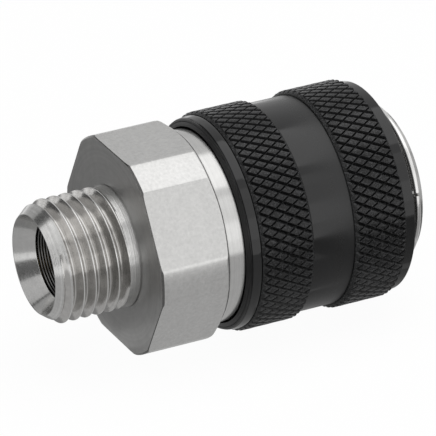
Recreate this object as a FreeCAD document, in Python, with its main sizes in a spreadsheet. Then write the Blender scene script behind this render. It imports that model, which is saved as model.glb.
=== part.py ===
"""Shut-off coupling with a male inlet thread, a ball lock and a spring-loaded valve.

The axis lies along X. The thread points to -X, the plug goes in from +X, and the
origin is on the axis in the sealing shoulder of the hexagon. Sizes are in millimetres.
"""

import FreeCAD
import Part
import Sketcher
import math
import os
import re

V = FreeCAD.Vector

BALL_COUNT = 8
KNURL_COUNT = 66

# Driving sizes, one cell each
SIZES = {
    # Inlet thread and passage
    "thread_diameter": "13.157",
    "thread_length": "9.2",
    "thread_chamfer": "1.1",
    "thread_rim": "0.13",
    "inlet_cone_angle": "60",
    "inlet_bore_diameter": "8.3",
    "inlet_bore_end": "2.5",
    # Hexagon and collar
    "hex_length": "8.2",
    "hex_flat_height": "0.57",
    "hex_corner_height": "0.77",
    "hex_front_chamfer": "0.12",
    "hex_back_chamfer": "0.47",
    "collar_length": "6.8",
    "collar_chamfer": "0.25",
    # Barrel, from its outside inwards
    "barrel_diameter": "16.4",
    "flange_thickness": "1",
    "flange_gap": "0.2",
    "ball_diameter": "3.2",
    "ball_cover": "0.1",
    "ball_reach": "0.7",
    "ball_hole_clearance": "0.05",
    "ball_margin": "0.8",
    "mouth_step": "0.5",
    "mouth_chamfer": "0.4",
    "mouth_margin": "1.6",
    "nose_rim": "1.2",
    "nose_land": "0.4",
    "nose_cone_length": "0.3",
    "tip_step": "0.7",
    "tip_lead": "0.8",
    "tip_land": "1.2",
    "throat_step": "0.35",
    "throat_length": "3",
    "seat_depth": "0.6",
    "seat_width": "0.6",
    "seat_height": "0.35",
    "tail_length": "7.2",
    "tail_wall": "2",
    "tail_chamfer": "0.5",
    "tail_clearance": "0.02",
    # Seals
    "plug_seal_section": "2.1",
    "plug_seal_bite": "0.35",
    "plug_seal_side_gap": "0.15",
    "plug_seal_back_gap": "0.05",
    "joint_seal_section": "1.2",
    "joint_seal_gap": "0.05",
    "joint_seal_inset": "0.3",
    # Valve
    "poppet_head_overlap": "1.05",
    "poppet_head_thickness": "1.5",
    "poppet_tube_clearance": "0.25",
    "poppet_tube_wall": "1.3",
    "poppet_tube_chamfer": "0.3",
    "poppet_port_diameter": "2.4",
    "poppet_port_margin": "0.15",
    "poppet_travel": "3.2",
    "poppet_end_gap": "0.1",
    "stem_diameter": "3",
    "stem_end": "0.9",
    "valve_seal_thickness": "0.65",
    "valve_seal_gap": "0.05",
    "valve_seal_inset": "0.1",
    "valve_flow_gap": "1",
    "valve_wire_diameter": "0.8",
    "valve_spring_turns": "5",
    "valve_spring_inset": "0.2",
    "guide_thickness": "1.5",
    "guide_step": "0.4",
    "guide_clearance": "0.05",
    "guide_hub_wall": "0.82",
    "guide_hub_height": "0.8",
    "guide_rim_overlap": "0.25",
    # Sleeve, from its spring room outwards
    "sleeve_travel": "1.8",
    "sleeve_stop_gap": "0.15",
    "sleeve_front_length": "1.14",
    "sleeve_front_wall": "0.4",
    "spring_room_gap": "0.55",
    "lip_step": "0.31",
    "lip_wall": "0.92",
    "lip_length": "0.32",
    "lip_chamfer": "0.12",
    "lip_groove_depth": "0.1",
    "lip_band_rise": "0.09",
    "lip_band_length": "1.1",
    "groove_wall": "0.86",
    "knurl_height": "0.48",
    "knurl_length": "5.45",
    "knurl_chamfer": "0.35",
    "knurl_depth": "0.27",
    "knurl_angle": "90",
    "knurl_slant": "30",
    "knurl_overrun": "0.6",
    "band_step": "0.43",
    "band_length": "1.1",
    "land_play": "0.28",
    "land_cover": "0.2",
    "land_length": "2.7",
    "ball_lift_ratio": "0.4",
    "recess_play": "0.08",
    "slide_clearance": "0.08",
    # Sleeve spring and snap ring
    "sleeve_wire_diameter": "1.1",
    "sleeve_spring_turns": "3.5",
    "sleeve_spring_gap": "0.35",
    "washer_thickness": "0.6",
    "washer_clearance": "0.15",
    "washer_edge_gap": "0.1",
    "ring_wire_diameter": "1",
    "ring_rise_ratio": "0.2",
    "ring_setback": "5.87",
    "ring_clearance": "0.02",
    "ring_stop_gap": "0.03",
    "ring_front_gap": "0.05",
    "ring_gap_angle": "2.2",
    "ring_end_angle": "75",
}

# Places and radii that follow from the driving sizes
LAYOUT = {
    # Radii of the barrel and the valve, inwards from the balls
    "barrel": "barrel_diameter / 2",
    "ball": "ball_diameter / 2",
    "ball_circle": "barrel - ball_cover - ball",
    "ball_bore": "ball_circle - ball + ball_reach",
    "mouth": "ball_bore + mouth_step",
    "nose_edge": "mouth + mouth_chamfer + nose_rim",
    "tip_bore": "ball_bore - tip_step",
    "throat": "tip_bore - throat_step",
    "plug_seal_mean": "tip_bore - plug_seal_bite + plug_seal_section / 2",
    "poppet_tube": "throat - poppet_tube_clearance",
    "poppet_bore": "poppet_tube - poppet_tube_wall",
    "poppet_head": "throat + poppet_head_overlap",
    "valve_chamber": "poppet_head + valve_flow_gap",
    "tail": "valve_chamber + tail_wall",
    "socket": "tail + tail_clearance",
    "joint_seal_mean": "socket - joint_seal_inset - joint_seal_section / 2",
    "guide_chamber": "valve_chamber - guide_step",
    "valve_spring_mean": "poppet_head - valve_spring_inset - valve_wire_diameter / 2",
    "stem": "stem_diameter / 2",
    "guide_bore": "stem + slide_clearance",
    "guide_hub": "guide_bore + guide_hub_wall",
    "guide_rim": "inlet_bore_diameter / 2 - guide_rim_overlap",
    # Radii of the sleeve, outwards from the barrel
    "sleeve_spring_mean": "barrel + sleeve_spring_gap + sleeve_wire_diameter / 2",
    "spring_room": "sleeve_spring_mean + sleeve_wire_diameter / 2 + spring_room_gap",
    "flange": "spring_room - flange_gap",
    "lip_bore": "spring_room + lip_step",
    "lip": "lip_bore + lip_wall",
    "groove": "lip_bore + groove_wall",
    "grip": "groove + knurl_height",
    "collar": "lip_bore - slide_clearance",
    "hex_flat": "collar + hex_flat_height",
    "hex_corner": "hex_flat + hex_corner_height",
    "thread": "thread_diameter / 2",
    "inlet_edge": "thread - thread_chamfer - thread_rim",
    "ring_mean": "barrel + ring_wire_diameter * ring_rise_ratio",
    "land": "ball_circle + ball + land_play",
    "recess": "ball_circle + ball + sleeve_travel * ball_lift_ratio + recess_play",
    "sleeve_guide": "barrel + slide_clearance",
    # Places along the axis
    "thread_tip": "-thread_length",
    "inlet_cone_end": "thread_tip + (inlet_edge - inlet_bore_diameter / 2) / tan(inlet_cone_angle / 2 * 1 deg)",
    "collar_end": "hex_length + collar_length",
    "body_back": "collar_end - tail_length",
    "socket_end": "body_back - joint_seal_section - 2 * joint_seal_gap",
    "joint_seal_place": "(socket_end + body_back) / 2",
    "flange_front": "collar_end + flange_thickness",
    "seat": "collar_end + seat_depth",
    "throat_end": "seat + throat_length",
    "seal_groove_back": "throat_end + tip_land",
    "plug_seal_place": "seal_groove_back + plug_seal_side_gap + plug_seal_section / 2",
    "seal_groove_front": "plug_seal_place + plug_seal_section / 2 + plug_seal_side_gap",
    "tip_bore_end": "seal_groove_front + tip_lead",
    "ball_place": "tip_bore_end + ball_margin + ball",
    "ball_bore_end": "ball_place + ball + mouth_margin",
    "ring_place": "ball_place + ring_setback",
    "nose_shoulder": "ring_place + ring_wire_diameter / 2 + ring_front_gap + nose_land",
    "nose_end": "nose_shoulder + nose_cone_length",
    "sleeve_back": "hex_length + sleeve_travel + sleeve_stop_gap",
    "sleeve_step": "collar_end + sleeve_travel + sleeve_travel / 4",
    "sleeve_stop": "ring_place - ring_wire_diameter / 2 - ring_stop_gap",
    "sleeve_corner": "sleeve_stop - sleeve_front_length",
    "land_end": "ball_place + land_cover",
    "spring_face": "land_end - land_length",
    "recess_end": "ball_place + ball + sleeve_travel - land_cover",
    "lip_end": "sleeve_back + lip_length",
    "lip_band_end": "lip_end + lip_band_length",
    "knurl_back_start": "lip_band_end + grip - lip - lip_band_rise",
    "knurl_back_end": "knurl_back_start + knurl_length",
    "knurl_front_end": "sleeve_corner - band_length - band_step / 2",
    "knurl_front_start": "knurl_front_end - knurl_length",
    "washer_back": "spring_face - washer_thickness",
    "poppet_face": "seat - valve_seal_thickness - valve_seal_gap",
    "poppet_back": "poppet_face - poppet_head_thickness",
    "poppet_front": "throat_end + poppet_travel + poppet_end_gap",
    "port_place": "seat + poppet_port_diameter / 2 + poppet_port_margin",
    "guide_front": "inlet_bore_end + guide_thickness",
}


def formula(text):
    """Write the name of its sheet before each alias in a formula."""

    def with_sheet(match):
        word = match.group()
        if word in SIZES:
            return "Sizes." + word
        if word in LAYOUT:
            return "Layout." + word
        return word

    return re.sub(r"[a-z]\w*", with_sheet, text)


def write_sheet(doc, name, cells):
    """Fill a spreadsheet with one aliased cell for each size."""
    sheet = doc.addObject("Spreadsheet::Sheet", name)
    for row, (alias, text) in enumerate(cells.items(), 1):
        sheet.set(f"A{row}", alias)
        sheet.set(f"B{row}", text)
        sheet.setAlias(f"B{row}", alias)
    return sheet


def new_body(doc, label):
    """Add an empty body for one sub-part."""
    body = doc.addObject("PartDesign::Body", label.title().replace("_", ""))
    body.Label = label
    return body


def origin_item(body, role):
    """Find a plane or axis of a body's own origin."""
    return next(item for item in body.Origin.OriginFeatures if item.Role == role)


def new_sketch(body, name, plane="XZ_Plane"):
    """Attach a sketch to one of the body's origin planes."""
    sketch = body.newObject("Sketcher::SketchObject", name)
    sketch.AttachmentSupport = [(origin_item(body, plane), "")]
    sketch.MapMode = "FlatFace"
    return sketch


def bind(sketch, constraint, text):
    """Add a constraint whose value follows a formula."""
    index = sketch.addConstraint(constraint)
    sketch.setExpression(f"Constraints[{index}]", formula(text))


def arc_between(start, end, radius):
    """Arc from start to end; a negative radius puts its centre on the right of the way."""
    chord = end - start
    side = V(-chord.y, chord.x, 0).normalize()
    rise = math.sqrt(max(radius * radius - chord.Length * chord.Length / 4, 0.0))
    centre = (start + end) * 0.5 + side * math.copysign(rise, radius)
    first = math.atan2(start.y - centre.y, start.x - centre.x)
    last = math.atan2(end.y - centre.y, end.x - centre.x)
    if radius < 0:
        first, last = last, first
    circle = Part.Circle(centre, V(0, 0, 1), abs(radius))
    return Part.ArcOfCircle(circle, first, last)


def add_outline(sketch, points):
    """Draw a closed outline through points given as formulas.

    A third item makes the side that leaves the point an arc with that radius.
    """
    base = sketch.GeometryCount
    places = [V(*(sketch.evalExpression(formula(t)) for t in p[:2]), 0) for p in points]
    ends = []
    for k, point in enumerate(points):
        here, there = places[k], places[(k + 1) % len(points)]
        if len(point) > 2:
            radius = sketch.evalExpression(formula(point[2]))
            sketch.addGeometry(arc_between(here, there, radius), False)
            ends.append((2, 1) if radius < 0 else (1, 2))
        else:
            sketch.addGeometry(Part.LineSegment(here, there), False)
            ends.append((1, 2))
    for k, point in enumerate(points):
        after = (k + 1) % len(points)
        side = base + k
        join = Sketcher.Constraint("Coincident", side, ends[k][1], base + after, ends[after][0])
        sketch.addConstraint(join)
        for kind, text, value in zip(("DistanceX", "DistanceY"), point, places[k]):
            bind(sketch, Sketcher.Constraint(kind, -1, 1, side, ends[k][0], value), text)
        if len(point) > 2:
            radius = abs(sketch.evalExpression(formula(point[2])))
            size = point[2].lstrip("-")
            bind(sketch, Sketcher.Constraint("Radius", side, radius), size)


def add_circle(sketch, x, y, radius):
    """Draw a circle whose centre and radius follow formulas."""
    place = V(sketch.evalExpression(formula(x)), sketch.evalExpression(formula(y)), 0)
    size = sketch.evalExpression(formula(radius))
    index = sketch.addGeometry(Part.Circle(place, V(0, 0, 1), size), False)
    bind(sketch, Sketcher.Constraint("DistanceX", -1, 1, index, 3, place.x), x)
    bind(sketch, Sketcher.Constraint("DistanceY", -1, 1, index, 3, place.y), y)
    bind(sketch, Sketcher.Constraint("Radius", index, size), radius)


def turn(body, name, sketch):
    """Turn a sketch of the XZ plane round the part's axis."""
    feature = body.newObject("PartDesign::Revolution", name)
    feature.Profile = sketch
    feature.ReferenceAxis = (sketch, ["H_Axis"])
    feature.Angle = 360
    return feature


def turned_body(doc, label, points):
    """Make a body by turning one closed outline round the axis."""
    body = new_body(doc, label)
    sketch = new_sketch(body, label + "_section")
    add_outline(sketch, points)
    turn(body, label + "_turned", sketch)
    return body


def around(body, name, feature, count, angle=360):
    """Repeat a feature round the part's axis."""
    pattern = body.newObject("PartDesign::PolarPattern", name)
    pattern.Originals = [feature]
    pattern.Axis = (origin_item(body, "X_Axis"), [""])
    pattern.Angle = angle
    pattern.Occurrences = count
    body.Tip = pattern
    return pattern


def make_threaded_adapter(doc):
    """Inlet thread, hexagon and collar, turned from one bar."""
    body = turned_body(doc, "threaded_adapter", [
        ("thread_tip", "inlet_edge"),
        ("thread_tip", "thread - thread_chamfer"),
        ("thread_tip + thread_chamfer", "thread"),
        ("0", "thread"),
        ("0", "hex_corner - hex_front_chamfer"),
        ("hex_front_chamfer", "hex_corner"),
        ("hex_length - hex_back_chamfer", "hex_corner"),
        ("hex_length", "hex_corner - hex_back_chamfer * tan(60 deg)"),
        ("hex_length", "collar"),
        ("collar_end - collar_chamfer", "collar"),
        ("collar_end", "collar - collar_chamfer"),
        ("collar_end", "socket"),
        ("socket_end", "socket"),
        ("socket_end", "guide_chamber"),
        ("inlet_bore_end", "guide_chamber"),
        ("inlet_bore_end", "inlet_bore_diameter / 2"),
        ("inlet_cone_end", "inlet_bore_diameter / 2"),
    ])
    sketch = new_sketch(body, "hexagon", "YZ_Plane")
    corner = "hex_flat / cos(30 deg)"
    add_outline(sketch, [
        (f"{corner} * cos({60 * k} deg)", f"{corner} * sin({60 * k} deg)") for k in range(6)
    ])
    add_circle(sketch, "0", "0", "hex_corner * 2")
    flats = body.newObject("PartDesign::Pocket", "hexagon_flats")
    flats.Profile = sketch
    flats.setExpression("Length", formula("hex_length"))
    flats.Reversed = True
    return body


def make_valve_body(doc):
    """Barrel with the valve seat, the seal groove, the ball holes and the nose."""
    grip = "ring_wire_diameter / 2 + ring_clearance"
    bite = f"sqrt(({grip}) ^ 2 - (ring_mean - barrel) ^ 2)"
    seal_groove = "plug_seal_mean + plug_seal_section / 2 + plug_seal_back_gap"
    body = turned_body(doc, "valve_body", [
        ("body_back", "valve_chamber"),
        ("body_back", "tail - tail_chamfer"),
        ("body_back + tail_chamfer", "tail"),
        ("collar_end", "tail"),
        ("collar_end", "flange"),
        ("flange_front", "flange"),
        ("flange_front", "barrel"),
        (f"ring_place - {bite}", "barrel", grip),
        (f"ring_place + {bite}", "barrel"),
        ("nose_shoulder", "barrel"),
        ("nose_end", "nose_edge"),
        ("nose_end", "mouth + mouth_chamfer"),
        ("nose_end - mouth_chamfer", "mouth"),
        ("ball_bore_end", "mouth"),
        ("ball_bore_end - mouth_step / 2", "ball_bore"),
        ("tip_bore_end", "ball_bore"),
        ("tip_bore_end - tip_step", "tip_bore"),
        ("seal_groove_front", "tip_bore"),
        ("seal_groove_front", seal_groove),
        ("seal_groove_back", seal_groove),
        ("seal_groove_back", "tip_bore"),
        ("throat_end", "tip_bore"),
        ("throat_end", "throat"),
        ("seat", "throat"),
        ("seat", "throat + seat_width"),
        ("seat + seat_height", "throat + seat_width + seat_height"),
        ("seat + seat_height", "valve_chamber"),
    ])
    sketch = new_sketch(body, "ball_hole_section")
    sketch.setExpression("AttachmentOffset.Base.x", formula("ball_place"))
    wide = "ball + ball_hole_clearance"
    neck = "sqrt(ball ^ 2 - (ball - ball_reach) ^ 2) + ball_hole_clearance * 0.8"
    add_outline(sketch, [
        ("0", "ball_bore - ball"),
        (neck, "ball_bore - ball"),
        (neck, "ball_bore - ball_hole_clearance"),
        (wide, "ball_circle - ball / 8"),
        (wide, "barrel + ball"),
        ("0", "barrel + ball"),
    ])
    hole = body.newObject("PartDesign::Groove", "ball_hole")
    hole.Profile = sketch
    hole.ReferenceAxis = (sketch, ["V_Axis"])
    hole.Angle = 360
    around(body, "ball_holes", hole, BALL_COUNT)
    return body


def cut_knurl(body, band, side, lean):
    """Cut one family of slanting grooves across a band of the sleeve."""
    name = f"knurl_{band}_{side}"
    half = "(knurl_depth + knurl_height) * tan(knurl_angle / 2 * 1 deg)"
    top = "grip + knurl_height"
    sketch = new_sketch(body, name + "_section", "YZ_Plane")
    middle = f"(knurl_{band}_start + knurl_{band}_end) / 2"
    sketch.setExpression("AttachmentOffset.Base.z", formula(middle))
    add_outline(sketch, [("0", "grip - knurl_depth"), (half, top), (f"-{half}", top)])
    groove = body.newObject("PartDesign::Pocket", name)
    groove.Profile = sketch
    groove.Midplane = True
    groove.setExpression("Length", formula("(knurl_length + 2 * knurl_overrun) / cos(knurl_slant * 1 deg)"))
    groove.UseCustomVector = True
    groove.AlongSketchNormal = False
    groove.setExpression("Direction.x", formula("cos(knurl_slant * 1 deg)"))
    groove.setExpression("Direction.y", formula(f"{lean}sin(knurl_slant * 1 deg)"))
    groove.setExpression("Direction.z", "0")
    around(body, name + "_grooves", groove, KNURL_COUNT)


def make_grip_sleeve(doc):
    """Locking sleeve: knurled bands and groove outside, ball land and recess inside."""
    body = turned_body(doc, "grip_sleeve", [
        ("sleeve_back", "lip_bore"),
        ("sleeve_back", "lip - lip_chamfer"),
        ("sleeve_back + lip_chamfer", "lip"),
        ("lip_end - lip_groove_depth * 0.8", "lip"),
        ("lip_end", "lip - lip_groove_depth"),
        ("lip_end + lip_groove_depth * 0.8", "lip"),
        ("lip_end + lip_band_length * 0.75", "lip + lip_band_rise"),
        ("lip_band_end", "lip + lip_band_rise"),
        ("knurl_back_start", "grip"),
        ("knurl_back_end", "grip"),
        ("knurl_back_end + knurl_chamfer", "groove"),
        ("knurl_front_start - knurl_chamfer", "groove"),
        ("knurl_front_start - knurl_chamfer", "grip - knurl_chamfer"),
        ("knurl_front_start", "grip"),
        ("knurl_front_end", "grip"),
        ("knurl_front_end + band_step / 2", "grip - band_step"),
        ("sleeve_corner", "grip - band_step"),
        ("sleeve_stop", "barrel + sleeve_front_wall"),
        ("sleeve_stop", "sleeve_guide"),
        ("recess_end + recess - sleeve_guide", "sleeve_guide"),
        ("recess_end", "recess"),
        ("land_end + recess - land", "recess"),
        ("land_end", "land"),
        ("spring_face", "land"),
        ("spring_face", "spring_room"),
        ("sleeve_step", "spring_room"),
        ("sleeve_step", "lip_bore"),
    ])
    for band in ("back", "front"):
        for side, lean in (("left", ""), ("right", "-")):
            cut_knurl(body, band, side, lean)
    return body


def make_spring_washer(doc):
    """Slip ring that lets the sleeve turn on its spring."""
    return turned_body(doc, "spring_washer", [
        ("washer_back", "barrel + washer_clearance"),
        ("washer_back", "spring_room - washer_edge_gap"),
        ("spring_face", "spring_room - washer_edge_gap"),
        ("spring_face", "barrel + washer_clearance"),
    ])


def coil_body(doc, label, back, front, mean, wire, turns):
    """Compression spring from a swept wire, with both ends ground flat."""
    body = new_body(doc, label)
    sketch = new_sketch(body, label + "_wire")
    add_circle(sketch, back, mean, wire + " / 2")
    helix = body.newObject("PartDesign::AdditiveHelix", label + "_coil")
    helix.Profile = sketch
    helix.ReferenceAxis = (sketch, ["H_Axis"])
    helix.Mode = "height-turns-angle"
    helix.setExpression("Height", formula(f"{front} - {back}"))
    helix.setExpression("Turns", formula(turns))
    ends = new_sketch(body, label + "_ends")
    low, high = f"{mean} - {wire}", f"{mean} + {wire}"
    for near, far in ((f"{back} - {wire}", back), (front, f"{front} + {wire}")):
        add_outline(ends, [(near, low), (far, low), (far, high), (near, high)])
    ground = body.newObject("PartDesign::Groove", label + "_ground")
    ground.Profile = ends
    ground.ReferenceAxis = (ends, ["H_Axis"])
    ground.Angle = 360
    return body


def make_ring(doc, label, place, mean, section):
    """Ring with a round section."""
    body = new_body(doc, label)
    sketch = new_sketch(body, label + "_section")
    add_circle(sketch, place, mean, section + " / 2")
    turn(body, label + "_turned", sketch)
    return body


def make_snap_ring(doc):
    """Wire ring with a gap, sprung into the groove of the nose."""
    body = make_ring(doc, "snap_ring", "ring_place", "ring_mean", "ring_wire_diameter")
    wire = body.Tip
    wire.setExpression("Angle", formula("360 - ring_gap_angle"))
    body.Placement = FreeCAD.Placement(V(), FreeCAD.Rotation(V(1, 0, 0), 119))
    body.setExpression("Placement.Rotation.Angle", formula("ring_end_angle + ring_gap_angle"))
    return body


def make_locking_balls(doc):
    """Balls in the holes of the barrel, as far in as their seats let them."""
    balls = []
    for k in range(BALL_COUNT):
        piece = doc.addObject("Part::Sphere", f"LockingBall{k + 1}")
        piece.Label = f"locking_ball_{k + 1}"
        piece.setExpression("Radius", formula("ball"))
        turned = f"{360 * k / BALL_COUNT} deg"
        piece.setExpression("Placement.Base.x", formula("ball_place"))
        piece.setExpression("Placement.Base.y", formula(f"-ball_circle * sin({turned})"))
        piece.setExpression("Placement.Base.z", formula(f"ball_circle * cos({turned})"))
        balls.append(piece)
    return balls


def make_valve_poppet(doc):
    """Valve head with a ported tube towards the plug and a guided stem."""
    stem_tip = "inlet_bore_end - stem_end"
    body = turned_body(doc, "valve_poppet", [
        (stem_tip, "0"),
        (stem_tip, "stem - poppet_tube_chamfer"),
        (stem_tip + " + poppet_tube_chamfer", "stem"),
        ("poppet_back", "stem"),
        ("poppet_back", "poppet_head"),
        ("poppet_face", "poppet_head"),
        ("poppet_face", "poppet_tube"),
        ("poppet_front - poppet_tube_chamfer", "poppet_tube"),
        ("poppet_front", "poppet_tube - poppet_tube_chamfer"),
        ("poppet_front", "poppet_bore"),
        ("poppet_face + poppet_bore / 6", "poppet_bore"),
        ("poppet_face", "0"),
    ])
    sketch = new_sketch(body, "port_outline")
    add_circle(sketch, "port_place", "0", "poppet_port_diameter / 2")
    port = body.newObject("PartDesign::Pocket", "ports")
    port.Profile = sketch
    port.Type = "ThroughAll"
    port.Midplane = True
    around(body, "crossed_ports", port, 2, 90)
    return body


def make_valve_seal(doc):
    """Flat rubber ring on the front of the valve head."""
    inner, outer = "poppet_tube + tail_clearance", "poppet_head - valve_seal_inset"
    return turned_body(doc, "valve_seal", [
        ("poppet_face", inner),
        ("poppet_face", outer),
        ("poppet_face + valve_seal_thickness", outer),
        ("poppet_face + valve_seal_thickness", inner),
    ])


def make_valve_guide(doc):
    """Spoked ring that guides the stem and carries the valve spring."""
    body = turned_body(doc, "valve_guide", [
        ("inlet_bore_end", "guide_bore"),
        ("inlet_bore_end", "guide_chamber - guide_clearance"),
        ("guide_front", "guide_chamber - guide_clearance"),
        ("guide_front", "guide_hub"),
        ("guide_front + guide_hub_height", "guide_hub"),
        ("guide_front + guide_hub_height", "guide_bore"),
    ])
    sketch = new_sketch(body, "window_outline", "YZ_Plane")
    add_outline(sketch, [
        ("guide_hub * cos(42 deg)", "guide_hub * sin(42 deg)"),
        ("guide_rim * cos(36 deg)", "guide_rim * sin(36 deg)", "guide_rim"),
        ("guide_rim * cos(144 deg)", "guide_rim * sin(144 deg)"),
        ("guide_hub * cos(138 deg)", "guide_hub * sin(138 deg)", "-guide_hub"),
    ])
    window = body.newObject("PartDesign::Pocket", "window")
    window.Profile = sketch
    window.Reversed = True
    window.setExpression("Length", formula("guide_front + guide_thickness"))
    around(body, "windows", window, 3)
    return body


def build():
    """Build the document and return its sub-parts."""
    doc = FreeCAD.newDocument("ShutOffCoupling")
    write_sheet(doc, "Sizes", SIZES)
    doc.recompute()
    write_sheet(doc, "Layout", {name: "=" + formula(text) for name, text in LAYOUT.items()})
    doc.recompute()
    parts = [
        make_threaded_adapter(doc),
        make_valve_body(doc),
        make_grip_sleeve(doc),
        make_spring_washer(doc),
        coil_body(doc, "sleeve_spring", "flange_front", "washer_back", "sleeve_spring_mean",
                  "sleeve_wire_diameter", "sleeve_spring_turns"),
        make_snap_ring(doc),
        *make_locking_balls(doc),
        make_ring(doc, "plug_seal", "plug_seal_place", "plug_seal_mean", "plug_seal_section"),
        make_valve_poppet(doc),
        make_valve_seal(doc),
        coil_body(doc, "valve_spring", "guide_front", "poppet_back", "valve_spring_mean",
                  "valve_wire_diameter", "valve_spring_turns"),
        make_valve_guide(doc),
        make_ring(doc, "joint_seal", "joint_seal_place", "joint_seal_mean", "joint_seal_section"),
    ]
    doc.recompute()
    for item in doc.Objects:
        if "Invalid" in item.State or "Error" in item.State:
            raise RuntimeError(f"{item.Label} didn't build")
    return parts


def export(parts):
    """Write each sub-part to its own STEP file."""
    os.makedirs("parts", exist_ok=True)
    for part in parts:
        if part.Shape.isNull() or not part.Shape.isValid():
            raise RuntimeError(f"{part.Label} has no valid shape")
        part.Shape.exportStep(f"parts/{part.Label}.step")


export(build())
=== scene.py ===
import logging
import math
from dataclasses import dataclass
from enum import Enum
from typing import Callable, Sequence

import bmesh
import bpy
import numpy as np
from mathutils import Matrix, Vector


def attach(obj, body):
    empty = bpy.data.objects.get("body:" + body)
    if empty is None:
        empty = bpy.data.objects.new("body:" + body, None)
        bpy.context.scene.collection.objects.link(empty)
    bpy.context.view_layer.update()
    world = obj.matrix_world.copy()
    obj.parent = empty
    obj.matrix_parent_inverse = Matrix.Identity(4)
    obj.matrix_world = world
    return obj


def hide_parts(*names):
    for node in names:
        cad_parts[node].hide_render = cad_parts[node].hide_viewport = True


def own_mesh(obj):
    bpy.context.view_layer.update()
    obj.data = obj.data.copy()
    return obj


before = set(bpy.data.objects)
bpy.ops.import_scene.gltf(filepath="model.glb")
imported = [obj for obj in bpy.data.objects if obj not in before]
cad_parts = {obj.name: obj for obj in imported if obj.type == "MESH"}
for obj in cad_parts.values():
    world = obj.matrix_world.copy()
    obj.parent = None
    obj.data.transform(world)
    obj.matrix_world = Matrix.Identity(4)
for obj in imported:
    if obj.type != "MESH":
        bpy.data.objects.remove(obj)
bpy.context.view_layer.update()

LOG = logging.getLogger("shut_off_coupling")
MM = 0.001
FULL_TURN = 2.0 * math.pi
WHITE = (1.0, 1.0, 1.0, 1.0)
MERGE_DISTANCE = 0.0015 * MM
BUMP_DISTANCE = 0.02 * MM
CARD_DISTANCE = 0.3

Profile = Sequence[Sequence[float]]
Colour = tuple[float, float, float]


def on_axis(place: np.ndarray, radius: np.ndarray, angle: np.ndarray) -> np.ndarray:
    """Find points round the part's axis.

    Args:
        place: Places along the axis.
        radius: Distances from the axis.
        angle: Angles from the top towards the front.

    Returns:
        Points whose last dimension is X, Y and Z.
    """
    place, radius, angle = np.broadcast_arrays(place, radius, angle)
    return np.stack([place, -radius * np.sin(angle), radius * np.cos(angle)], axis=-1)


def round_angles(steps: int) -> np.ndarray:
    """Spread a number of angles evenly over one turn."""
    return np.linspace(0.0, FULL_TURN, steps, endpoint=False)


def reach_of(point: Vector) -> float:
    """Measure how far a point is from the axis."""
    return math.hypot(point.y, point.z)


def to_radius(vert: bmesh.types.BMVert, radius: float) -> None:
    """Move a point straight in or out to a radius.

    Args:
        vert: Point to move.
        radius: Its new distance from the axis.
    """
    scale = radius / reach_of(vert.co)
    vert.co.y *= scale
    vert.co.z *= scale


def eased(corners: Profile, arc: int = 4) -> list[tuple[float, float]]:
    """Round the corners of a profile.

    A short straight run stays on both sides of each corner, so that smooth shading keeps to it.

    Args:
        corners: Places and radii, each with the size of its rounding as a third item if it has one.
        arc: Number of steps in a rounded corner.

    Returns:
        Places and radii along the eased profile.
    """
    side_share, straight_run = 0.42, 1.18
    points: list[tuple[float, float]] = []
    for k, corner in enumerate(corners):
        here = np.array(corner[:2])
        size = corner[2] if len(corner) > 2 else 0.0
        if k in (0, len(corners) - 1) or size <= 0:
            points.append(tuple(here))
            continue
        back, ahead = (np.array(corners[n][:2]) - here for n in (k - 1, k + 1))
        reach = min(size, side_share * np.linalg.norm(back), side_share * np.linalg.norm(ahead))
        back, ahead = back / np.linalg.norm(back), ahead / np.linalg.norm(ahead)
        points.append(tuple(here + back * reach * straight_run))
        for t in np.linspace(0.0, 1.0, arc + 1):
            points.append(tuple(here + back * reach * (1 - t) ** 2 + ahead * reach * t ** 2))
        points.append(tuple(here + ahead * reach * straight_run))
    return points


def grid_quads(rows: int, columns: int, closed: bool = False, flipped: bool = False) -> np.ndarray:
    """Join a grid of points by quads.

    Args:
        rows: Number of rows.
        columns: Number of columns.
        closed: Whether the last column meets the first.
        flipped: Whether the quads face the other way.

    Returns:
        Corners of each quad, for points that are counted row by row.
    """
    index = np.arange(rows * columns).reshape(rows, columns)
    here = index if closed else index[:, :-1]
    beside = np.roll(index, -1, axis=1) if closed else index[:, 1:]
    corners = [here[:-1], beside[:-1], beside[1:], here[1:]]
    if flipped:
        corners = [corners[k] for k in (0, 3, 2, 1)]
    return np.stack(corners, axis=-1).reshape(-1, 4)


def start_work(points: np.ndarray, faces: Sequence[Sequence[int]], merge: float) -> bmesh.types.BMesh:
    """Start a mesh that can be cut before it joins a surface.

    Args:
        points: Points of shape (count, 3) in millimetres.
        faces: Corners of each face.
        merge: Distance below which two points become one.

    Returns:
        The mesh, which Shell.take frees.
    """
    work = bmesh.new()
    corners = [work.verts.new(point) for point in points]
    for face in faces:
        work.faces.new([corners[k] for k in face])
    bmesh.ops.remove_doubles(work, verts=work.verts, dist=merge)
    return work


def cut_across(
    work: bmesh.types.BMesh, place: float, away: float, slack: float, clear: bool = True,
) -> list[bmesh.types.BMEdge]:
    """Cut a mesh with a plane across the axis.

    Args:
        work: Mesh to cut.
        place: Place of the plane on the axis.
        away: Side that the plane faces, 1 for +X and -1 for -X.
        slack: Distance within which a point counts as in the plane.
        clear: Whether the side that the plane faces is taken off.

    Returns:
        Edges that lie in the cut.
    """
    cut = bmesh.ops.bisect_plane(
        work, geom=[*work.verts, *work.edges, *work.faces], dist=slack,
        plane_co=(place, 0, 0), plane_no=(away, 0, 0), clear_outer=clear,
    )["geom_cut"]
    return [item for item in cut if isinstance(item, bmesh.types.BMEdge)]


def in_scene(name: str, data: bpy.types.ID) -> bpy.types.Object:
    """Make an object of a mesh, a light or a camera and link it to the scene.

    Args:
        name: Name of the object.
        data: What it shows.

    Returns:
        The new object.
    """
    made = bpy.data.objects.new(name, data)
    bpy.context.scene.collection.objects.link(made)
    return made


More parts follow.
